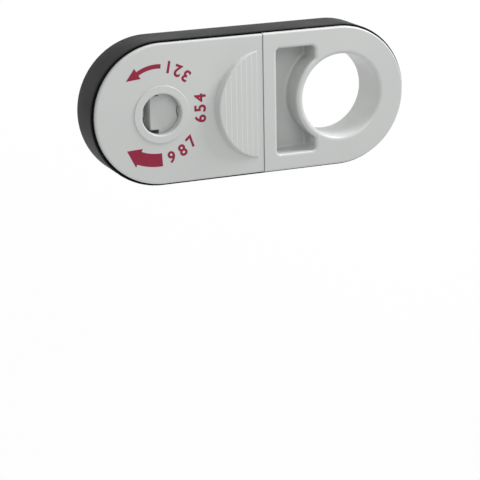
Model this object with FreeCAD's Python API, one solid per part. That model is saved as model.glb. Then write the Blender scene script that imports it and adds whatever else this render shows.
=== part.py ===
import FreeCAD, Part
import math
import os

# Coaxial cable stripper: a finger-ring half and a sliding half, drawn together by a stretch band.
# Millimetres. X runs along the tool with the finger ring at +X, Y across it, Z up from its back.

# Stretch band, whose lip stands outside the plates, and the outlines that follow it
band_length = 99.6
band_width = 42.7
band_wall = 2.0
band_height = 12.3
band_edge_round = 0.6
band_lip = 0.28
band_lip_round = 0.15
band_groove_depth = 1.6
band_fit = 0.1
ring_end_inset = 0.75
ring_side_inset = 0.6
slider_end_inset = 0.97
slider_side_inset = 0.7
flange_inset = 0.75

# Heights of the stack, from the back face up
flange_thickness = 1.0
cover_thickness = 2.0
rim_thickness = 1.5
roof_thickness = 2.4
plate_edge_round = 0.55
seam_edge_round = 0.15
slider_step = 0.2

# Seam between the halves, and how far the slider draws out
seam_x = 3.3
seam_gap = 0.14
travel = 8.0
shell_wall = 2.0
cover_fit = 0.25
tube_fit = 0.1

# Finger ring and the pocket beside it
ring_width = 8.85
finger_offset = 0.2
tube_wall = 2.2
finger_front_round = 1.2
finger_rear_round = 1.8
bulkhead = 4.3
pocket_depth = 8.0
pocket_setback = 8.5
pocket_side_wall = 1.4
pocket_corner_share = 0.32
pocket_floor = 1.5
pocket_floor_share = 0.2
pocket_rim_round = 0.9

# Tongue of the ring half, which runs inside the slider
tongue_width = 29.4
tongue_side_play = 0.25
tongue_top_play = 0.3
slot_width = 8.0
slot_spacing = 15.0
boss_play = 0.2
boss_setback = 6.2
slot_end_play = 0.4
arm_corner_r = 2.0

# Cable hole and the anvil behind it
cable_from_end = 21.17
cable_r = 6.05
cable_edge_round = 0.5
cable_collar_r = 8.45
cable_collar_height = 0.3
cable_collar_round = 0.12
anvil_reach = 4.6
anvil_width = 14.0
anvil_length = 5.4
anvil_rib = 2.0

# Thumb pad on the slider: a steep half disc whose top climbs in steps away from the seam
pad_r = 16.2
pad_centre_setback = 0.5
pad_chord_setback = 2.0
pad_draft = 0.8
pad_rim_round = 0.45
pad_steps = 7
pad_step_length = 1.8
pad_step_height = 0.36
pad_first_height = 0.4
pad_step_round = 0.25

# Blade holder that rocks in the end of the tongue
nose_reach = 2.65
nose_width = 9.85
nose_length = 2.63
nose_edge_round = 0.4
head_width = 15.0
head_length = 5.2
head_below_tongue = 0.3
hub_r = 3.2
neck_width = 4.8
pin_setback = 9.0
pin_r = 1.5
pin_play = 0.05
swing_deg = 7.0
swing_play = 0.3
holder_play = 0.2
bay_roof = 1.5

# Blade, its screw, and the keeper plate under the holder
blade_thickness = 0.6
blade_width = 7.0
blade_length = 9.0
blade_tip_width = 3.6
blade_tip_length = 2.2
blade_edge_land = 0.12
blade_edge_length = 0.9
blade_reach = 1.1
blade_level_share = 0.3
blade_fit = 0.03
blade_screw_setback = 5.2
keeper_thickness = 1.2
keeper_play = 0.4
keeper_width = 25.0
keeper_length = 6.5
keeper_corner_r = 1.5
keeper_tail_room = 0.3
keeper_tail_land = 5.0
keeper_screw_spacing = 21.0
keeper_screw_setback = 3.0

# Countersunk screws
screw_r = 1.1
screw_head_r = 1.9
screw_length = 8.0
small_screw_r = 0.9
small_screw_head_r = 1.6
small_screw_length = 4.0
screw_fit = 0.05
screw_tip_room = 0.8
screw_sink = 0.05
screw_head_room = 0.35
end_screw_angle = 55.0
bulkhead_screw_spacing = 22.0
end_boss_r = 2.6
end_boss_back = 12.0
end_boss_spacing = 21.0

# Worked out from the sizes above
end_x = band_length / 2
end_r = band_width / 2
finger_x = end_x - end_r + finger_offset
cable_x = cable_from_end - end_x
ring_face_x = seam_x + seam_gap / 2
slider_face_x = seam_x - seam_gap / 2

band_z = flange_thickness + band_fit
rim_z = band_z + band_height + 2 * band_fit
front_z = rim_z + rim_thickness
slider_front_z = front_z - slider_step
roof_z = front_z - roof_thickness
tongue_top = roof_z - tongue_top_play
keeper_z = cover_thickness + keeper_play
tongue_bottom = keeper_z + keeper_thickness

wall_length = band_length - 2 * (band_wall + band_fit)
wall_width = band_width - 2 * (band_wall + band_fit)
room_length = wall_length - 2 * shell_wall
room_width = wall_width - 2 * shell_wall
ring_plate_length = band_length - 2 * ring_end_inset
ring_plate_width = band_width - 2 * ring_side_inset
slider_plate_length = band_length - 2 * slider_end_inset
slider_plate_width = band_width - 2 * slider_side_inset
flange_length = band_length - 2 * flange_inset
flange_width = band_width - 2 * flange_inset
channel_width = tongue_width + 2 * tongue_side_play

finger_r = end_r - ring_width
tube_r = finger_r + tube_wall
pocket_x = seam_x + bulkhead
pocket_far_x = finger_x - pocket_setback
pocket_width = room_width - 2 * pocket_side_wall
pocket_z = front_z - pocket_depth
pocket_lobe = pocket_width / 2 - math.sqrt(tube_r ** 2 - pocket_setback ** 2)
pocket_corner_r = pocket_corner_share * pocket_lobe
pocket_floor_round = pocket_floor_share * pocket_lobe

nose_x = cable_x - nose_reach
tongue_end_x = nose_x + nose_length
pin_x = tongue_end_x + pin_setback
head_back_x = tongue_end_x + head_length
holder_bottom = tongue_bottom + holder_play
holder_top = tongue_top - head_below_tongue
hub_top = tongue_top - bay_roof - holder_play
swing = math.radians(swing_deg)
bay_half = head_width / 2 + pin_setback * math.sin(swing) + swing_play
blade_z = holder_bottom + blade_level_share * (holder_top - holder_bottom)

boss_r = slot_width / 2 - boss_play
boss_x = seam_x - boss_setback
slot_low_x = boss_x - travel - boss_r - slot_end_play
slot_high_x = boss_x + boss_r + slot_end_play
channel_end_x = tongue_end_x - head_width / 2 * math.sin(swing) - 2 * swing_play
anvil_x = cable_x - anvil_reach
end_boss_x = cable_x - end_boss_back

pad_x = seam_x + pad_centre_setback
pad_chord_x = seam_x - pad_chord_setback
pad_height = pad_first_height + (pad_steps - 1) * pad_step_height
pad_foot_z = slider_front_z - slider_step - rim_thickness / 2

# How far cutters run past the faces that they cut, and how near counts as being on a face
past = 1.0
near = 0.01


def vec(x, y, z):
    return FreeCAD.Vector(x, y, z)


def block(x0, x1, width, z0, z1):
    return Part.makeBox(x1 - x0, width, z1 - z0, vec(x0, -width / 2, z0))


def post(x, y, r, z0, z1):
    return Part.makeCylinder(r, z1 - z0, vec(x, y, z0))


def prism(points, z0, z1):
    corners = [vec(x, y, z0) for x, y in points]
    return Part.Face(Part.makePolygon(corners + corners[:1])).extrude(vec(0, 0, z1 - z0))


def side_prism(points, width):
    corners = [vec(x, -width / 2, z) for x, z in points]
    return Part.Face(Part.makePolygon(corners + corners[:1])).extrude(vec(0, width, 0))


# A slot shape: straight sides and half-round ends, from x0 to x1 about the line at y
def obround(x0, x1, y, width, z0, z1):
    r = width / 2
    low, high = x0 + r, x1 - r
    edges = [
        Part.LineSegment(vec(low, y - r, z0), vec(high, y - r, z0)).toShape(),
        Part.Arc(vec(high, y - r, z0), vec(x1, y, z0), vec(high, y + r, z0)).toShape(),
        Part.LineSegment(vec(high, y + r, z0), vec(low, y + r, z0)).toShape(),
        Part.Arc(vec(low, y + r, z0), vec(x0, y, z0), vec(low, y - r, z0)).toShape(),
    ]
    return Part.Face(Part.Wire(edges)).extrude(vec(0, 0, z1 - z0))


def stadium(length, width, z0, z1):
    return obround(-length / 2, length / 2, 0, width, z0, z1)


def ring_side(shape, x=ring_face_x):
    return shape.common(block(x, band_length, 2 * band_width, -band_height, 3 * band_height))


def slider_side(shape, x=slider_face_x):
    return shape.common(block(-band_length, x, 2 * band_width, -band_height, 3 * band_height))


def round_edges(shape, radius, chosen):
    return shape.makeFillet(radius, [edge for edge in shape.Edges if chosen(edge.BoundBox)])


# A turned shape about a vertical axis through (x, y), from half-profile edges in the XZ plane
def turned(x, y, edges):
    solid = Part.Face(Part.Wire(edges)).revolve(vec(0, 0, 0), vec(0, 0, 1), 360)
    solid.translate(vec(x, y, 0))
    return solid


# The space of a round hole whose two mouths are rounded over, ready to be cut away
def flared_hole(x, r, z0, z1, round_low, round_high):
    lean = math.sqrt(0.5)
    low_wide, high_wide = r + round_low, r + round_high
    low_start, high_end = z0 + round_low, z1 - round_high
    low_mid = vec(low_wide - lean * round_low, 0, low_start - lean * round_low)
    high_mid = vec(high_wide - lean * round_high, 0, high_end + lean * round_high)
    edges = [
        Part.LineSegment(vec(0, 0, z0 - past), vec(low_wide, 0, z0 - past)).toShape(),
        Part.LineSegment(vec(low_wide, 0, z0 - past), vec(low_wide, 0, z0)).toShape(),
        Part.Arc(vec(low_wide, 0, z0), low_mid, vec(r, 0, low_start)).toShape(),
        Part.LineSegment(vec(r, 0, low_start), vec(r, 0, high_end)).toShape(),
        Part.Arc(vec(r, 0, high_end), high_mid, vec(high_wide, 0, z1)).toShape(),
        Part.LineSegment(vec(high_wide, 0, z1), vec(high_wide, 0, z1 + past)).toShape(),
        Part.LineSegment(vec(high_wide, 0, z1 + past), vec(0, 0, z1 + past)).toShape(),
        Part.LineSegment(vec(0, 0, z1 + past), vec(0, 0, z0 - past)).toShape(),
    ]
    return turned(x, 0, edges)


# A countersunk screw driven up from z, and the hole that takes it
def screw(x, y, z, shank_r, head_r, length):
    z = z + screw_sink
    head = head_r - shank_r
    half = [(0, z), (head_r, z), (shank_r, z + head), (shank_r, z + length), (0, z + length)]
    corners = [vec(px, 0, pz) for px, pz in half]
    return turned(x, y, Part.makePolygon(corners + corners[:1]).Edges)


def screw_hole(x, y, z, shank_r, head_r, length):
    head = head_r - shank_r
    r = shank_r + screw_fit
    mouth_r = r + head + screw_sink
    tip = z + screw_sink + length + screw_tip_room
    neck = z + head + screw_sink
    half = [(0, z - past), (mouth_r, z - past), (mouth_r, z), (r, neck), (r, tip), (0, tip)]
    corners = [vec(px, 0, pz) for px, pz in half]
    return turned(x, y, Part.makePolygon(corners + corners[:1]).Edges)


def mirrored_places(x, spacing):
    return [(x, -spacing / 2), (x, spacing / 2)]


end_screw_r = tube_r + tube_fit + screw_head_r + screw_head_room
end_screw_turn = math.radians(end_screw_angle)
end_screw_x = finger_x + end_screw_r * math.cos(end_screw_turn)
ring_screw_places = mirrored_places(ring_face_x + screw_head_r + screw_head_room, bulkhead_screw_spacing)
ring_end_places = mirrored_places(end_screw_x, 2 * end_screw_r * math.sin(end_screw_turn))
boss_places = mirrored_places(boss_x, slot_spacing)
end_boss_places = mirrored_places(end_boss_x, end_boss_spacing)
keeper_places = mirrored_places(tongue_end_x + keeper_screw_setback, keeper_screw_spacing)
blade_screw_x = nose_x + blade_screw_setback
blade_screw_length = blade_z - holder_bottom + blade_thickness + small_screw_length / 2
small_screw = (small_screw_r, small_screw_head_r, small_screw_length)
blade_fixing = (small_screw_r, small_screw_head_r, blade_screw_length)


def screw_holes(shape, places, z, shank_r=screw_r, head_r=screw_head_r, length=screw_length):
    for x, y in places:
        shape = shape.cut(screw_hole(x, y, z, shank_r, head_r, length))
    return shape


def screws(places, z, shank_r=screw_r, head_r=screw_head_r, length=screw_length):
    return Part.makeCompound([screw(x, y, z, shank_r, head_r, length) for x, y in places])


# Front plate of one half: the rim that hides the band's edge, with its edges rounded over
def front_plate(side, length, width, top, face_x):
    plate = side(stadium(length, width, rim_z, top))

    def on_top(bounds):
        return bounds.ZMin > top - near

    def on_seam(bounds):
        return bounds.XLength < near and abs(bounds.XMin - face_x) < near

    def along_seam_top(bounds):
        return on_seam(bounds) and bounds.ZMax > top - near and bounds.ZMin > rim_z + near

    plate = round_edges(plate, plate_edge_round, lambda bounds: on_top(bounds) and not on_seam(bounds))
    return round_edges(plate, seam_edge_round, along_seam_top)


# Screw pillars at the ends of the shell, no further out than the wall that they grow from
def end_pillars(places):
    shell = stadium(wall_length, wall_width, cover_thickness, roof_z)
    return [post(x, y, end_boss_r, cover_thickness, roof_z).common(shell) for x, y in places]


def tongue():
    body = block(tongue_end_x, pocket_x, tongue_width, tongue_bottom, tongue_top)
    body = round_edges(body, arm_corner_r, lambda b: b.XMax < tongue_end_x + near and b.YLength < near)
    low, high = tongue_bottom - past, tongue_top + past
    for _, y in boss_places:
        body = body.cut(obround(slot_low_x, slot_high_x, y, slot_width, low, high))
    hub_room = hub_r + swing_play
    flare_x = pin_x - hub_room / 2
    taper = [(pin_x, hub_room), (flare_x, bay_half), (tongue_end_x - past, bay_half)]
    taper = taper + [(x, -y) for x, y in reversed(taper)]
    bay = post(pin_x, 0, hub_room, low, high).fuse(prism(taper, low, high))
    roof_z0 = tongue_top - bay_roof
    roof = block(pin_x, pin_x + 2 * hub_r, tongue_width, roof_z0, high + past)
    roof = roof.fuse(post(pin_x, 0, hub_r, roof_z0, high + past))
    body = body.cut(bay.cut(roof))
    body = body.cut(post(pin_x, 0, pin_r, tongue_bottom, tongue_top + past))
    return screw_holes(body, keeper_places, keeper_z, *small_screw)


def ring_body():
    body = front_plate(ring_side, ring_plate_length, ring_plate_width, front_z, ring_face_x)
    body = body.fuse(ring_side(stadium(wall_length, wall_width, flange_thickness, rim_z + seam_edge_round)))
    body = body.cut(ring_side(stadium(room_length, room_width, 0, roof_z), pocket_x))
    tub = block(pocket_x - past, pocket_far_x + pocket_floor, room_width, pocket_z - pocket_floor, roof_z)
    pillars = end_pillars(ring_end_places)
    tube = post(finger_x, 0, tube_r, 0, roof_z)
    body = body.fuse([tub, tube] + pillars)
    pocket = block(pocket_x, pocket_far_x, pocket_width, pocket_z, front_z + past)
    pocket = pocket.cut(post(finger_x, 0, tube_r, 0, front_z + 2 * past))
    pocket = round_edges(pocket, pocket_corner_r, lambda b: b.XLength + b.YLength < near)
    pocket = round_edges(pocket, pocket_floor_round, lambda b: b.ZMax < pocket_z + near)
    body = body.cut(pocket)

    def pocket_rim(bounds):
        inside = bounds.XMin > pocket_x - near and bounds.XMax < pocket_far_x + near
        return inside and bounds.ZMin > front_z - near

    body = round_edges(body, pocket_rim_round, pocket_rim)
    body = body.fuse(tongue())
    body = body.cut(flared_hole(finger_x, finger_r, 0, front_z, finger_rear_round, finger_front_round))
    body = screw_holes(body, ring_screw_places + ring_end_places, 0)
    return body.removeSplitter()


def ring_rear_cover():
    cover = ring_side(stadium(flange_length, flange_width, 0, flange_thickness))
    lid_length = room_length - 2 * cover_fit
    lid_width = room_width - 2 * cover_fit
    lid = ring_side(stadium(lid_length, lid_width, flange_thickness, cover_thickness), pocket_x + cover_fit)
    cover = cover.fuse(lid)
    cover = cover.cut(post(finger_x, 0, tube_r + tube_fit, -past, cover_thickness + past))
    return screw_holes(cover, ring_screw_places + ring_end_places, 0).removeSplitter()


# One step of the thumb pad: a drafted disc with a rounded rim, ended by a riser that faces the seam
def pad_step(riser_x, top):
    draft = pad_draft / pad_height
    foot_r = pad_r + draft * (slider_front_z - pad_foot_z)
    top_r = pad_r - draft * (top - slider_front_z)
    disc = Part.makeCone(foot_r, top_r, top - pad_foot_z, vec(pad_x, 0, pad_foot_z))
    disc = round_edges(disc, pad_rim_round, lambda b: b.ZMin > top - near)
    far_x = pad_x - 2 * pad_r
    side = [(riser_x, pad_foot_z), (riser_x, top), (far_x, top), (far_x, pad_foot_z)]
    step = side_prism(side, 3 * pad_r)
    step = round_edges(step, pad_step_round, lambda b: b.XMin > riser_x - near and b.ZMin > top - near)
    return disc.common(step)


def thumb_pad():
    steps = []
    for index in range(pad_steps):
        riser_x = pad_chord_x - index * pad_step_length
        steps.append(pad_step(riser_x, slider_front_z + pad_first_height + index * pad_step_height))
    return steps[0].fuse(steps[1:])


def slider_cover():
    body = front_plate(slider_side, slider_plate_length, slider_plate_width, slider_front_z, slider_face_x)
    body = body.fuse(slider_side(stadium(wall_length, wall_width, flange_thickness, rim_z + seam_edge_round)))
    channel = block(channel_end_x, slider_face_x + past, channel_width, 0, roof_z)
    end_room = slider_side(stadium(room_length, room_width, 0, roof_z), channel_end_x)
    body = body.cut(channel.fuse(end_room))
    posts = [post(x, y, boss_r, cover_thickness, roof_z) for x, y in boss_places]
    posts = posts + end_pillars(end_boss_places)
    anvil = block(anvil_x - anvil_length, anvil_x, anvil_width, cover_thickness, roof_z)
    rib = block(shell_wall / 2 - wall_length / 2, anvil_x - anvil_length, anvil_rib, cover_thickness, roof_z)
    hole_top = slider_front_z + cable_collar_height
    collar = post(cable_x, 0, cable_collar_r, roof_z, hole_top)
    collar = round_edges(collar, cable_collar_round, lambda b: b.ZMin > hole_top - near)
    body = body.fuse(posts + [anvil, rib, collar, thumb_pad()])
    hole = flared_hole(cable_x, cable_r, cover_thickness, hole_top, cable_edge_round, cable_edge_round)
    body = body.cut(hole)
    return screw_holes(body, boss_places + end_boss_places, 0).removeSplitter()


def slider_rear_cover():
    cover = slider_side(stadium(flange_length, flange_width, 0, flange_thickness))
    lid_width = channel_width - 2 * cover_fit
    lid = block(channel_end_x - past, slider_face_x, lid_width, flange_thickness, cover_thickness)
    end_lid_length = room_length - 2 * cover_fit
    end_lid_width = room_width - 2 * cover_fit
    end_lid = stadium(end_lid_length, end_lid_width, flange_thickness, cover_thickness)
    cover = cover.fuse([lid, slider_side(end_lid, channel_end_x - cover_fit)])
    mouth = flared_hole(cable_x, cable_r, 0, cover_thickness, cable_edge_round, cable_edge_round)
    return screw_holes(cover.cut(mouth), boss_places + end_boss_places, 0).removeSplitter()


def stretch_band():
    band = stadium(band_length, band_width, band_z, band_z + band_height)
    inner_length = band_length - 2 * band_wall
    inner_width = band_width - 2 * band_wall
    top = band_z + band_height
    band = band.cut(stadium(inner_length, inner_width, band_z - past, top + past))
    groove_length = band_length - 2 * band_lip
    groove_width = band_width - 2 * band_lip
    band = band.cut(stadium(groove_length, groove_width, top - band_groove_depth, top + past))
    band = round_edges(band, band_edge_round, lambda b: b.ZMax < band_z + near)

    def outer_top(bounds):
        reach = max(bounds.YMax, -bounds.YMin)
        return bounds.ZMin > top - near and reach > groove_width / 2 + near

    return round_edges(band, band_lip_round, outer_top)


# Plan of the blade holder: round hub on the pin, shoulders in the bay, nose beyond the tongue's end
def blade_holder():
    half = head_width / 2
    hub = post(pin_x, 0, hub_r, holder_bottom, hub_top)
    neck = [(pin_x, neck_width / 2), (head_back_x, half), (tongue_end_x, half)]
    neck = neck + [(x, -y) for x, y in reversed(neck)]
    neck_room = post(pin_x, 0, hub_r + swing_play, hub_top, holder_top + past)
    low = prism(neck, holder_bottom, holder_top).cut(neck_room)
    head = block(tongue_end_x, head_back_x, head_width, holder_bottom, holder_top)
    nose = block(nose_x, tongue_end_x + past, nose_width, holder_bottom, holder_top)
    body = hub.fuse([low, head, nose]).removeSplitter()
    body = round_edges(body, nose_edge_round, lambda b: b.XMax < nose_x + near and b.ZLength < near)
    body = body.cut(post(pin_x, 0, pin_r + pin_play, holder_bottom - past, hub_top + past))
    slit_x = nose_x + blade_length - blade_reach + blade_fit
    slit_width = blade_width + 2 * blade_fit
    slit_top = blade_z + blade_thickness + blade_fit
    body = body.cut(block(nose_x - past, slit_x, slit_width, blade_z - blade_fit, slit_top))
    return screw_holes(body, [(blade_screw_x, 0)], holder_bottom, *blade_fixing)


# Blade: a flat strip drawn in to a narrower tip, ground from both faces to its edge
def blade():
    tip_x = nose_x - blade_reach
    back_x = tip_x + blade_length
    half, tip_half = blade_width / 2, blade_tip_width / 2
    shoulder_x = tip_x + blade_tip_length
    plan = [(tip_x, tip_half), (shoulder_x, half), (back_x, half)]
    plan = plan + [(x, -y) for x, y in reversed(plan)]
    strip = prism(plan, blade_z, blade_z + blade_thickness)
    middle = blade_z + blade_thickness / 2
    land = blade_edge_land / 2
    ground_x = tip_x + blade_edge_length
    ground = [(tip_x, middle - land), (ground_x, blade_z), (back_x, blade_z)]
    ground = ground + [(x, 2 * middle - z) for x, z in reversed(ground)]
    strip = strip.common(side_prism(ground, 2 * blade_width))
    return strip.cut(post(blade_screw_x, 0, small_screw_r + screw_fit, blade_z - past, blade_z + past))


def blade_screw():
    return screw(blade_screw_x, 0, holder_bottom, *blade_fixing)


def rocker_pin():
    return post(pin_x, 0, pin_r, keeper_z, tongue_top)


# Keeper plate under the tongue: it keeps the holder from dropping out, and its tail holds the pin's foot
def blade_keeper():
    plate = block(tongue_end_x, tongue_end_x + keeper_length, keeper_width, keeper_z, tongue_bottom)
    plate = round_edges(plate, keeper_corner_r, lambda b: b.XLength + b.YLength < near)
    tail_width = slot_spacing - slot_width - 2 * keeper_tail_room
    tail_x = tongue_end_x + keeper_length / 2
    plate = plate.fuse(obround(tail_x, pin_x + keeper_tail_land, 0, tail_width, keeper_z, tongue_bottom))
    plate = plate.cut(post(pin_x, 0, pin_r, keeper_z - past, tongue_bottom + past)).removeSplitter()
    return screw_holes(plate, keeper_places, keeper_z, *small_screw)


def build_parts():
    return {
        "ring_body": ring_body(),
        "ring_rear_cover": ring_rear_cover(),
        "ring_cover_screws": screws(ring_screw_places + ring_end_places, 0),
        "stretch_band": stretch_band(),
        "rocker_pin": rocker_pin(),
        "blade_keeper": blade_keeper(),
        "keeper_screws": screws(keeper_places, keeper_z, *small_screw),
        "slider_cover": slider_cover(),
        "slider_rear_cover": slider_rear_cover(),
        "slider_screws": screws(boss_places + end_boss_places, 0),
        "blade_holder": blade_holder(),
        "blade": blade(),
        "blade_screw": blade_screw(),
    }


os.makedirs("parts", exist_ok=True)
for name, shape in build_parts().items():
    shape.exportStep("parts/" + name + ".step")
    print(name, len(shape.Solids), "solid(s),", round(shape.Volume, 1), "mm3, valid", shape.isValid())
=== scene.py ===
import math

import bpy
from mathutils import Matrix, Vector


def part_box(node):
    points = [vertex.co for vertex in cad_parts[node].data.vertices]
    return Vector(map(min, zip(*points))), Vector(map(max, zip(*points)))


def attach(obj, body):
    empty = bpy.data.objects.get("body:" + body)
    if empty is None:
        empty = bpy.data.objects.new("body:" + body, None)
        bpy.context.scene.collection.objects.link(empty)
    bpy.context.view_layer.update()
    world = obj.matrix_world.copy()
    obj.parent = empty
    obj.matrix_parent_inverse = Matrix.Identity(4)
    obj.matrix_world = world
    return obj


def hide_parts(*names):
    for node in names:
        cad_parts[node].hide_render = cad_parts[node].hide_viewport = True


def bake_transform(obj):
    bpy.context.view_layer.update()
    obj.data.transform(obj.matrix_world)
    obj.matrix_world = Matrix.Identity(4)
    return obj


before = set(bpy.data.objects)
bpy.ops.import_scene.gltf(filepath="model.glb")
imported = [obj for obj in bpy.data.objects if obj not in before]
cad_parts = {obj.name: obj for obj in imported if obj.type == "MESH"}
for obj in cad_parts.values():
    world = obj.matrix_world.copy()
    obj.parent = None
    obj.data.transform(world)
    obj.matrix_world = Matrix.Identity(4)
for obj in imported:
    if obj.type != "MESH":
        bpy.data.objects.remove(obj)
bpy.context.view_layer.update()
scene = bpy.context.scene
mm = 0.001          # sizes below are in mm, Blender's in metres
print("frame loaded with", len(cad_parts), "moulded and metal parts")


# Materials

def hexToLinear(code):
    channels = [int(code[i:i + 2], 16) / 255 for i in (1, 3, 5)]
    return [c / 12.92 if c <= 0.04045 else ((c + 0.055) / 1.055) ** 2.4 for c in channels] + [1.0]


def addNode(tree, kind, settings=None, values=None, links=None):
    node = tree.nodes.new(kind)
    for name, value in (settings or {}).items():
        setattr(node, name, value)
    for socket, value in (values or {}).items():
        node.inputs[socket].default_value = value
    for socket, source in (links or {}).items():
        tree.links.new(source, node.inputs[socket])
    return node


def startMaterial(name):
    material = bpy.data.materials.new(name)
    material.use_nodes = True
    material.node_tree.nodes.clear()
    return material, material.node_tree


def perMm(size):
    return 1 / (size * mm)      # texture scale that gives features of this size in mm


colourMix = {"data_type": "RGBA"}                   # inputs 0, 6, 7: share and colours, output 2: result
noiseSpan = {"From Min": 0.3, "From Max": 0.7}      # where most of a noise's values lie


# Light grey ABS from a spark-eroded mould: an even satin skin with a very fine grain,
# a slow drift of tone where the melt flowed, and a few softer patches from handling.
absFinish = {
    "tone": "#C6C8C6",
    "toneDrift": "#BFC1C0",
    "driftSize": 22,
    "smearSize": 9,
    "roughLow": 0.28,
    "roughHigh": 0.4,
    "ior": 1.53,
    "grainSize": 0.4,           # real grit is near 0.05, drawn coarser so that it shows
    "grainDepth": 0.006,
}


def makeAbs(s):
    material, tree = startMaterial("mouldedGreyAbs")
    place = addNode(tree, "ShaderNodeTexCoord").outputs["Object"]
    drift = addNode(tree, "ShaderNodeTexNoise", values={"Scale": perMm(s["driftSize"]), "Detail": 3.0},
                    links={"Vector": place})
    tone = addNode(tree, "ShaderNodeMix", colourMix,
                   {6: hexToLinear(s["tone"]), 7: hexToLinear(s["toneDrift"])}, {0: drift.outputs["Fac"]})
    smear = addNode(tree, "ShaderNodeTexNoise", values={"Scale": perMm(s["smearSize"]), "Detail": 5.0},
                    links={"Vector": place})
    rough = addNode(tree, "ShaderNodeMapRange", links={"Value": smear.outputs["Fac"]},
                    values={**noiseSpan, "To Min": s["roughLow"], "To Max": s["roughHigh"]})
    grain = addNode(tree, "ShaderNodeTexNoise", values={"Scale": perMm(s["grainSize"]), "Detail": 2.0},
                    links={"Vector": place})
    bump = addNode(tree, "ShaderNodeBump", values={"Strength": 1.0, "Distance": s["grainDepth"] * mm},
                   links={"Height": grain.outputs["Fac"]})
    skin = addNode(tree, "ShaderNodeBsdfPrincipled", values={"IOR": s["ior"]},
                   links={"Base Color": tone.outputs[2], "Roughness": rough.outputs[0],
                          "Normal": bump.outputs[0]})
    addNode(tree, "ShaderNodeOutputMaterial", links={"Surface": skin.outputs[0]})
    return material


# Black rubber, moulded: a dull grey-black with a dusty bloom, fine grain and a few pale specks.
rubberFinish = {
    "tone": "#1E1E1F",
    "bloom": "#28282A",
    "speck": "#8C8C8A",
    "bloomSize": 14,
    "roughLow": 0.5,
    "roughHigh": 0.66,
    "gloss": 0.14,
    "grainSize": 0.5,           # real grain is near 0.1, drawn coarser so that it shows
    "grainDepth": 0.012,
    "speckSpacing": 4.5,
    "speckReach": 0.035,        # share of the spacing that a speck takes
}


def makeRubber(s):
    material, tree = startMaterial("mouldedBlackRubber")
    place = addNode(tree, "ShaderNodeTexCoord").outputs["Object"]
    bloom = addNode(tree, "ShaderNodeTexNoise", values={"Scale": perMm(s["bloomSize"]), "Detail": 6.0},
                    links={"Vector": place})
    tone = addNode(tree, "ShaderNodeMix", colourMix, {6: hexToLinear(s["tone"]), 7: hexToLinear(s["bloom"])},
                   {0: bloom.outputs["Fac"]})
    specks = addNode(tree, "ShaderNodeTexVoronoi", values={"Scale": perMm(s["speckSpacing"])},
                     links={"Vector": place})
    dust = addNode(tree, "ShaderNodeMath", {"operation": "LESS_THAN"}, {1: s["speckReach"]},
                   {0: specks.outputs["Distance"]})
    dusty = addNode(tree, "ShaderNodeMix", colourMix, {7: hexToLinear(s["speck"])},
                    {0: dust.outputs[0], 6: tone.outputs[2]})
    rough = addNode(tree, "ShaderNodeMapRange", links={"Value": bloom.outputs["Fac"]},
                    values={**noiseSpan, "To Min": s["roughLow"], "To Max": s["roughHigh"]})
    grain = addNode(tree, "ShaderNodeTexNoise", values={"Scale": perMm(s["grainSize"]), "Detail": 3.0},
                    links={"Vector": place})
    bump = addNode(tree, "ShaderNodeBump", values={"Strength": 1.0, "Distance": s["grainDepth"] * mm},
                   links={"Height": grain.outputs["Fac"]})
    skin = addNode(tree, "ShaderNodeBsdfPrincipled", values={"Specular IOR Level": s["gloss"]},
                   links={"Base Color": dusty.outputs[2], "Roughness": rough.outputs[0],
                          "Normal": bump.outputs[0]})
    addNode(tree, "ShaderNodeOutputMaterial", links={"Surface": skin.outputs[0]})
    return material


# Pad-printed crimson ink: a thin even film, a little thinner in places, so the tone breaks up slightly.
inkFinish = {"full": "#881F39", "thin": "#8F2C44", "patchSize": 0.9, "roughness": 0.55, "gloss": 0.2}


def makeInk(s):
    material, tree = startMaterial("padPrintedCrimsonInk")
    place = addNode(tree, "ShaderNodeTexCoord").outputs["Object"]
    patch = addNode(tree, "ShaderNodeTexNoise", values={"Scale": perMm(s["patchSize"]), "Detail": 4.0},
                    links={"Vector": place})
    tone = addNode(tree, "ShaderNodeMix", colourMix, {6: hexToLinear(s["full"]), 7: hexToLinear(s["thin"])},
                   {0: patch.outputs["Fac"]})
    film = addNode(tree, "ShaderNodeBsdfPrincipled", links={"Base Color": tone.outputs[2]},
                   values={"Specular IOR Level": s["gloss"], "Roughness": s["roughness"]})
    addNode(tree, "ShaderNodeOutputMaterial", links={"Surface": film.outputs[0]})
    return material


# Bare metals. The lay is the spacing of the fine lines from grinding or drawing, which run along one axis.
# Blade steel is ground: bright, with fine lines towards its edge.
bladeFinish = {"name": "groundBladeSteel", "tone": "#C9CACC", "worn": "#B4B6B9", "lay": 0.12, "along": 0,
               "roughLow": 0.2, "roughHigh": 0.34}
# The pin is drawn steel: a little duller, with lines along its length.
pinFinish = {"name": "drawnSteelPin", "tone": "#B7B8BA", "worn": "#A4A6A8", "lay": 0.15, "along": 2,
             "roughLow": 0.24, "roughHigh": 0.36}
# The screws are zinc plated: a soft silver with a mottled sheen and no lines. Their lay is the mottle's size.
zincFinish = {"name": "zincPlatedSteel", "tone": "#BDBEBB", "worn": "#A6A8A8", "lay": 0.35, "along": None,
              "roughLow": 0.28, "roughHigh": 0.46}
lineLength = 25                 # how many times longer than wide a line of the lay is


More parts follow.
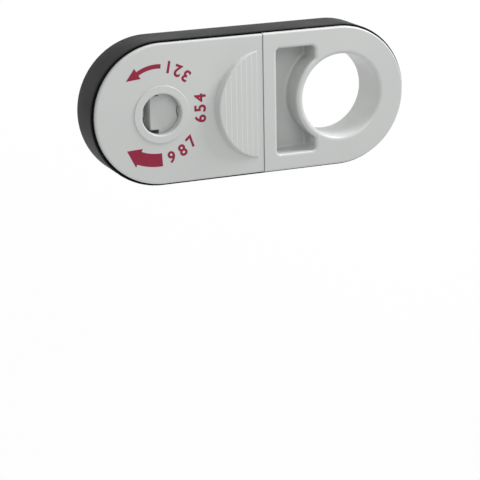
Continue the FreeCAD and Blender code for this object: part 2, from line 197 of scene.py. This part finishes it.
def makeMetal(s):
    material, tree = startMaterial(s["name"])
    place = addNode(tree, "ShaderNodeTexCoord").outputs["Object"]
    stretch = [1.0, 1.0, 1.0]
    if s["along"] is not None:
        stretch[s["along"]] = 1 / lineLength
    turned = addNode(tree, "ShaderNodeMapping", values={"Scale": stretch}, links={"Vector": place})
    lines = addNode(tree, "ShaderNodeTexNoise", values={"Scale": perMm(s["lay"]), "Detail": 3.0},
                    links={"Vector": turned.outputs[0]})
    tone = addNode(tree, "ShaderNodeMix", colourMix, {6: hexToLinear(s["tone"]), 7: hexToLinear(s["worn"])},
                   {0: lines.outputs["Fac"]})
    rough = addNode(tree, "ShaderNodeMapRange", links={"Value": lines.outputs["Fac"]},
                    values={**noiseSpan, "To Min": s["roughLow"], "To Max": s["roughHigh"]})
    metal = addNode(tree, "ShaderNodeBsdfPrincipled", values={"Metallic": 1.0},
                    links={"Base Color": tone.outputs[2], "Roughness": rough.outputs[0]})
    addNode(tree, "ShaderNodeOutputMaterial", links={"Surface": metal.outputs[0]})
    return material


greyAbs = makeAbs(absFinish)
blackRubber = makeRubber(rubberFinish)
crimsonInk = makeInk(inkFinish)
bladeSteel = makeMetal(bladeFinish)
pinSteel = makeMetal(pinFinish)
zincSteel = makeMetal(zincFinish)

finishOf = {
    "ring_body": greyAbs, "ring_rear_cover": greyAbs, "slider_cover": greyAbs, "slider_rear_cover": greyAbs,
    "blade_holder": greyAbs, "blade_keeper": greyAbs, "blade": bladeSteel, "rocker_pin": pinSteel,
    "blade_screw": zincSteel,
}
for part, finish in finishOf.items():
    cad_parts[part].data.materials[0] = finish
print("materials made")


# Modelling helpers

near = 1e-6         # metres within which a place counts as the same
weld = 1e-7         # metres within which points are merged


def deselectAll():
    if bpy.context.object and bpy.context.object.mode != "OBJECT":
        bpy.ops.object.mode_set(mode="OBJECT")
    bpy.ops.object.select_all(action="DESELECT")


def activate(piece):
    deselectAll()
    piece.select_set(True)
    bpy.context.view_layer.objects.active = piece


def pick(piece, kind, test):
    bpy.ops.object.mode_set(mode="EDIT")
    bpy.ops.mesh.select_mode(type=kind)
    bpy.ops.mesh.select_all(action="DESELECT")
    bpy.ops.object.mode_set(mode="OBJECT")
    mesh = piece.data
    if kind == "VERT":
        for vert in mesh.vertices:
            vert.select = test(vert.co)
    elif kind == "EDGE":
        for edge in mesh.edges:
            ends = [mesh.vertices[i].co for i in edge.vertices]
            edge.select = test(ends[0], ends[1])
    else:
        for face in mesh.polygons:
            face.select = test(face.center, face.normal)
    bpy.ops.object.mode_set(mode="EDIT")


def settle(piece, name, material):
    bpy.ops.object.mode_set(mode="EDIT")
    bpy.ops.mesh.select_all(action="SELECT")
    bpy.ops.mesh.remove_doubles(threshold=weld)
    bpy.ops.mesh.normals_make_consistent(inside=False)
    bpy.ops.object.mode_set(mode="OBJECT")
    bpy.ops.object.transform_apply(location=True, rotation=True, scale=True)
    piece.name = name
    piece.data.name = name
    piece.data.materials.clear()
    piece.data.materials.append(material)
    return piece


def joinAll(pieces):
    activate(pieces[0])
    for piece in pieces:
        piece.select_set(True)
    bpy.ops.object.join()
    return pieces[0]


def addModifier(piece, kind, **settings):
    modifier = piece.modifiers.new(kind.lower(), kind)
    for name, value in settings.items():
        setattr(modifier, name, value)
    bpy.ops.object.modifier_apply(modifier=modifier.name)


# The stretch band: one endless rubber wall round both halves. Its section has a thin lip that stands
# clear of the plates, so a dark groove runs between lip and plate.
bandShape = {"wall": 2.0, "edgeRound": 0.6, "edgeSegments": 5, "grooveDepth": 1.6, "lip": 0.28,
             "lipRound": 0.15, "lipSegments": 4, "turnSteps": 64, "sideCuts": 40, "smoothUnder": 40}
bandLow, bandHigh = (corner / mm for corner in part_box("stretch_band"))
bandEnd = bandHigh.x - bandHigh.y       # from the middle of the tool to the centre of each round end


def makeBand(s):
    deselectAll()
    side, low, top, end = bandHigh.y, bandLow.z, bandHigh.z, bandEnd
    ledge = top - s["grooveDepth"]
    bpy.ops.mesh.primitive_plane_add(size=1, rotation=(0, math.radians(90), 0), location=(
        end * mm, (side - s["wall"] / 2) * mm, (low + ledge) / 2 * mm))
    band = bpy.context.object
    band.scale = ((ledge - low) * mm, s["wall"] * mm, 1)
    bpy.ops.object.transform_apply(location=True, rotation=True, scale=True)

    def at(co, y, z):
        return abs(co.y - y * mm) < near and abs(co.z - z * mm) < near

    def underLip(a, b):
        return min(a.y, b.y) > (side - s["lip"]) * mm - near

    def onLedge(a, b):
        return abs(a.z - ledge * mm) < near and abs(b.z - ledge * mm) < near

    pick(band, "EDGE", onLedge)
    bpy.ops.mesh.subdivide(number_cuts=1)
    pick(band, "VERT", lambda co: at(co, side - s["wall"] / 2, ledge))
    bpy.ops.transform.translate(value=(0, (s["wall"] / 2 - s["lip"]) * mm, 0))
    pick(band, "EDGE", lambda a, b: onLedge(a, b) and underLip(a, b))
    bpy.ops.mesh.extrude_region_move(TRANSFORM_OT_translate={"value": (0, 0, s["grooveDepth"] * mm)})
    pick(band, "VERT", lambda co: co.z < low * mm + near)
    bpy.ops.mesh.bevel(offset=s["edgeRound"] * mm, segments=s["edgeSegments"], affect="VERTICES")
    pick(band, "VERT", lambda co: at(co, side, top))
    bpy.ops.mesh.bevel(offset=s["lipRound"] * mm, segments=s["lipSegments"], affect="VERTICES")
    bpy.ops.mesh.select_all(action="SELECT")
    bpy.ops.mesh.delete(type="ONLY_FACE")
    pick(band, "EDGE", lambda a, b: onLedge(a, b) and underLip(a, b))
    bpy.ops.mesh.delete(type="EDGE")        # only the section's outline is left

    bpy.ops.mesh.select_all(action="SELECT")
    bpy.ops.mesh.spin(steps=s["turnSteps"], angle=math.pi, center=(end * mm, 0, 0), axis=(0, 0, 1))
    bpy.ops.mesh.select_all(action="SELECT")
    bpy.ops.mesh.duplicate()
    bpy.ops.transform.rotate(value=math.pi, orient_axis="Z", center_override=(0, 0, 0))
    for way in (1, -1):
        pick(band, "EDGE", lambda a, b: abs(abs(a.x) - end * mm) < near and abs(abs(b.x) - end * mm) < near
             and a.y * way > 0 and b.y * way > 0)
        bpy.ops.mesh.bridge_edge_loops(number_cuts=s["sideCuts"])
    settle(band, "stretchBand", blackRubber)
    bpy.ops.object.shade_smooth_by_angle(angle=math.radians(s["smoothUnder"]))
    return band


band = makeBand(bandShape)
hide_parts("stretch_band")
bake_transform(band)
print("stretch band made,", len(band.data.polygons), "faces")


# Print on the slider: a thin and a thick turning arrow, and a ring of plain numbers.
# The film starts a little below the plate's face, so that no gap shows under it.
printFace = {"height": 14.9, "film": 0.03, "sunk": 0.01, "centre": (-29.8, 2.6)}
thinArrow = {"name": "thinTurningArrow", "radius": 11.55, "width": 1.3, "tail": 84.0, "neck": 120.5,
             "wings": 3.66, "tip": 139.8, "tipRadius": 12.33, "steps": 24}
thickArrow = {"name": "thickTurningArrow", "radius": 15.95, "width": 3.9, "tail": -86.5, "neck": -112.4,
              "wings": 5.8, "tip": -128.5, "tipRadius": 15.75, "steps": 24}


def onFace(radius, degrees):
    turn = math.radians(degrees)
    x, y = printFace["centre"]
    return Vector(((x + radius * math.cos(turn)) * mm, (y + radius * math.sin(turn)) * mm,
                   (printFace["height"] - printFace["sunk"]) * mm))


def makeArrow(s):
    deselectAll()
    hub = onFace(0, 0)
    half = s["width"] * mm / 2
    bpy.ops.mesh.primitive_plane_add(size=2 * half, location=onFace(s["radius"], 0))
    arrow = bpy.context.object
    bpy.ops.object.transform_apply(location=True, rotation=False, scale=False)
    pick(arrow, "VERT", lambda co: co.y > hub.y)
    bpy.ops.mesh.delete(type="VERT")        # one edge is left, as wide as the shaft
    pick(arrow, "VERT", lambda co: True)
    bpy.ops.transform.translate(value=(0, half, 0))
    bpy.ops.transform.rotate(value=-math.radians(s["tail"]), orient_axis="Z", center_override=hub)
    sweep = math.radians(s["neck"] - s["tail"])
    bpy.ops.mesh.spin(steps=s["steps"], angle=sweep, center=hub, axis=(0, 0, -1))
    bpy.ops.mesh.extrude_region_move()
    spread = s["wings"] / s["width"]
    bpy.ops.transform.resize(value=(spread, spread, 1), center_override=onFace(s["radius"], s["neck"]))
    bpy.ops.mesh.extrude_region_move()
    bpy.ops.transform.resize(value=(0, 0, 1), center_override=onFace(s["radius"], s["neck"]))
    bpy.ops.transform.translate(value=onFace(s["tipRadius"], s["tip"]) - onFace(s["radius"], s["neck"]))
    bpy.ops.mesh.select_all(action="SELECT")
    bpy.ops.mesh.remove_doubles(threshold=near)
    bpy.ops.mesh.extrude_region_move(TRANSFORM_OT_translate={"value": (0, 0, printFace["film"] * mm)})
    return settle(arrow, s["name"], crimsonInk)


for shape in (thinArrow, thickArrow):
    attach(makeArrow(shape), "slider")

# Plain numbers round the cable hole, their heads towards it: the figure, its place and its turn
dialNumbers = {
    "height": 3.6, "weight": 0.028,
    "places": [("1", -26.2, 13.65, 169), ("2", -23.4, 12.3, 156), ("3", -20.9, 10.6, 144),
               ("4", -16.75, 3.75, 90), ("5", -16.75, 0.65, 90), ("6", -16.75, -2.4, 90),
               ("7", -19.7, -8.75, 43), ("8", -22.5, -11.15, 28), ("9", -25.95, -12.85, 12)],
}


def makeNumber(s, figure, x, y, turn):
    deselectAll()
    bpy.ops.object.text_add()
    text = bpy.context.object.data
    text.body = figure
    text.align_x = "CENTER"
    text.align_y = "CENTER"
    text.bevel_depth = s["weight"]      # makes the strokes bolder, by this share of the font's size
    text.bevel_resolution = 0
    text.extrude = 0.5                  # any thickness, brought down to the film's below
    bpy.ops.object.convert(target="MESH")
    number = bpy.context.object
    bpy.ops.object.origin_set(type="ORIGIN_GEOMETRY", center="BOUNDS")
    thickness = (printFace["film"] + printFace["sunk"]) * mm
    size = s["height"] * mm / number.dimensions.y
    number.scale = (size, size, thickness / number.dimensions.z)
    number.rotation_euler = (0, 0, math.radians(turn))
    number.location = (x * mm, y * mm, (printFace["height"] - printFace["sunk"]) * mm + thickness / 2)
    bpy.ops.object.transform_apply(location=True, rotation=True, scale=True)
    return number


numbers = joinAll([makeNumber(dialNumbers, *place) for place in dialNumbers["places"]])
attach(settle(numbers, "dialNumbers", crimsonInk), "slider")
print("print made")


# Cross-recess countersunk screws, driven from the back, with a thread of plain rings.
# Root, tip and recessTaper are the shares that a width narrows to.
coverScrew = {"shank": 1.1, "head": 1.82, "rim": 0.08, "length": 8.0, "pitch": 0.8, "root": 0.84, "tip": 0.55,
              "recess": 1.15, "recessWidth": 0.42, "recessDepth": 0.85, "recessTaper": 0.55, "recessTurn": 45}
smallScrew = {"shank": 0.9, "head": 1.52, "rim": 0.06, "length": 4.0, "pitch": 0.6, "root": 0.84, "tip": 0.55,
              "recess": 0.95, "recessWidth": 0.34, "recessDepth": 0.65, "recessTaper": 0.55, "recessTurn": 45}
screwMesh = {"sides": 32, "smoothUnder": 30}
screwSets = {
    "ringCoverScrews": {"of": coverScrew, "node": "ring_cover_screws", "body": "ring_half",
                        "places": [(5.62, 11.0), (5.62, -11.0), (38.43, 13.967), (38.43, -13.967)]},
    "sliderScrews": {"of": coverScrew, "node": "slider_screws", "body": "slider",
                     "places": [(-2.9, 7.5), (-2.9, -7.5), (-40.63, 10.5), (-40.63, -10.5)]},
    "keeperScrews": {"of": smallScrew, "node": "keeper_screws", "body": "ring_half",
                     "places": [(-25.65, 10.5), (-25.65, -10.5)]},
}


def makeRecessCutter(s, low, turn):
    deselectAll()
    bpy.ops.mesh.primitive_cube_add(size=1, location=(0, 0, low * mm), rotation=(0, 0, math.radians(turn)))
    cutter = bpy.context.object
    cutter.scale = (2 * s["recess"] * mm, s["recessWidth"] * mm, 2 * s["recessDepth"] * mm)
    bpy.ops.object.transform_apply(location=False, rotation=False, scale=True)
    pick(cutter, "FACE", lambda centre, normal: centre.z > near)        # the face at the recess's floor
    bpy.ops.transform.resize(value=(s["recessTaper"], s["recessTaper"], 1),
                             center_override=(0, 0, (low + s["recessDepth"]) * mm))
    bpy.ops.object.mode_set(mode="OBJECT")
    return cutter


def makeScrew(s, low):
    deselectAll()
    bpy.ops.mesh.primitive_circle_add(vertices=screwMesh["sides"], radius=s["head"] * mm, fill_type="NGON",
                                      location=(0, 0, low * mm))
    screw = bpy.context.object
    bpy.ops.object.mode_set(mode="EDIT")
    bpy.ops.mesh.select_all(action="SELECT")

    def grow(height, ratio=1.0):
        bpy.ops.mesh.extrude_region_move(TRANSFORM_OT_translate={"value": (0, 0, height * mm)})
        if ratio != 1.0:
            bpy.ops.transform.resize(value=(ratio, ratio, 1), center_override=(0, 0, 0))

    grow(s["rim"])
    flare = s["head"] - s["shank"]
    grow(flare, s["shank"] / s["head"])
    left = s["length"] - s["rim"] - flare
    turns = int((left - s["pitch"]) / s["pitch"])
    for turn in range(turns):
        grow(s["pitch"] / 2, s["root"])
        grow(s["pitch"] / 2, 1 / s["root"])
    grow(left - turns * s["pitch"], s["tip"])
    bpy.ops.mesh.select_all(action="SELECT")
    bpy.ops.mesh.normals_make_consistent(inside=False)
    bpy.ops.object.mode_set(mode="OBJECT")

    cutters = [makeRecessCutter(s, low, s["recessTurn"] + turn) for turn in (0, 90)]
    for cutter in cutters:
        activate(screw)
        addModifier(screw, "BOOLEAN", object=cutter, operation="DIFFERENCE", solver="EXACT")
        bpy.data.objects.remove(cutter)
    return settle(screw, "screw", zincSteel)


def makeScrewSet(name, s):
    first = makeScrew(s["of"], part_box(s["node"])[0].z / mm)
    copies = []
    for x, y in s["places"]:
        activate(first)
        bpy.ops.object.duplicate()
        bpy.ops.transform.translate(value=(x * mm, y * mm, 0))
        copies.append(bpy.context.object)
    bpy.data.objects.remove(first)
    screws = settle(joinAll(copies), name, zincSteel)
    bpy.ops.object.shade_smooth_by_angle(angle=math.radians(screwMesh["smoothUnder"]))
    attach(screws, s["body"])
    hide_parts(s["node"])


for name, screwSet in screwSets.items():
    makeScrewSet(name, screwSet)
print("screws made")


# Stage: pale floor, soft light and camera. The floor lies well below the tool, so that the finger ring
# shows it evenly lit, and its white share leaves the rest of it to take the tool's shadow.
stageSizes = {"floor": 6000, "drop": 150, "floorTone": "#F7F7F6", "white": 0.9, "ambient": 0.6}


def shownDirectly(tree):        # 1 where the surface is seen, mirrored or looked through to, else 0
    path = addNode(tree, "ShaderNodeLightPath")
    seen = addNode(tree, "ShaderNodeMath", {"operation": "MAXIMUM"},
                   links={0: path.outputs["Is Camera Ray"], 1: path.outputs["Is Glossy Ray"]})
    return addNode(tree, "ShaderNodeMath", {"operation": "MAXIMUM"},
                   links={0: seen.outputs[0], 1: path.outputs["Is Transmission Ray"]}).outputs[0]


def makeFloor(s):
    deselectAll()
    bpy.ops.mesh.primitive_plane_add(size=s["floor"] * mm, location=(0, 0, -s["drop"] * mm))
    floor = bpy.context.object
    floor.name = "floor"
    material, tree = startMaterial("paleStudioFloor")
    share = addNode(tree, "ShaderNodeMath", {"operation": "MULTIPLY"}, {1: s["white"]},
                    {0: shownDirectly(tree)})
    paint = addNode(tree, "ShaderNodeBsdfDiffuse", values={"Color": hexToLinear(s["floorTone"])})
    glow = addNode(tree, "ShaderNodeEmission", values={"Strength": 1.0})
    mix = addNode(tree, "ShaderNodeMixShader",
                  links={0: share.outputs[0], 1: paint.outputs[0], 2: glow.outputs[0]})
    addNode(tree, "ShaderNodeOutputMaterial", links={"Surface": mix.outputs[0]})
    floor.data.materials.append(material)


def makeWorld(s):
    world = bpy.data.worlds.new("studio")
    scene.world = world
    world.use_nodes = True
    tree = world.node_tree
    tree.nodes.clear()
    white = hexToLinear("#FFFFFF")
    room = addNode(tree, "ShaderNodeBackground", values={"Color": white, "Strength": s["ambient"]})
    backdrop = addNode(tree, "ShaderNodeBackground", values={"Color": white, "Strength": 1.0})
    mix = addNode(tree, "ShaderNodeMixShader",
                  links={0: shownDirectly(tree), 1: room.outputs[0], 2: backdrop.outputs[0]})
    addNode(tree, "ShaderNodeOutputWorld", links={"Surface": mix.outputs[0]})


makeFloor(stageSizes)
makeWorld(stageSizes)

# Softboxes: place, edge length and power in watts. Each faces the tool.
softboxes = {
    "keyBox": {"place": (300, 320, 94), "edge": 200, "power": 2.05},
    "fillBox": {"place": (0, -440, 94), "edge": 200, "power": 0.36},
    "topBox": {"place": (-30, 130, 170), "edge": 120, "power": 0.1},
}


def makeSoftbox(name, s):
    deselectAll()
    bpy.ops.object.light_add(type="AREA", location=Vector(s["place"]) * mm)
    lamp = bpy.context.object
    lamp.name = name
    lamp.data.shape = "SQUARE"
    lamp.data.size = s["edge"] * mm
    lamp.data.energy = s["power"]
    lamp.rotation_euler = lamp.location.to_track_quat("Z", "Y").to_euler()


for name, softbox in softboxes.items():
    makeSoftbox(name, softbox)

# Camera from a perspective fit of the closed view: where it stands, and its right and up directions
viewFrom = {"place": (-212.74, 118.34, 514.80), "right": (0.92127, -0.01797, 0.38852),
            "up": (0.12543, 0.95929, -0.25304), "lens": 141.88, "sensor": 36.0, "nearest": 10.0}


def makeCamera(s):
    deselectAll()
    bpy.ops.object.camera_add(location=Vector(s["place"]) * mm)
    camera = bpy.context.object
    right, up = Vector(s["right"]).normalized(), Vector(s["up"]).normalized()
    back = right.cross(up).normalized()
    camera.rotation_euler = Matrix((right, back.cross(right), back)).transposed().to_euler()
    camera.data.lens = s["lens"]
    camera.data.sensor_width = s["sensor"]
    camera.data.clip_start = s["nearest"] * mm
    scene.camera = camera


makeCamera(viewFrom)
scene.view_settings.view_transform = "Standard"
print("stage, lights and camera set")
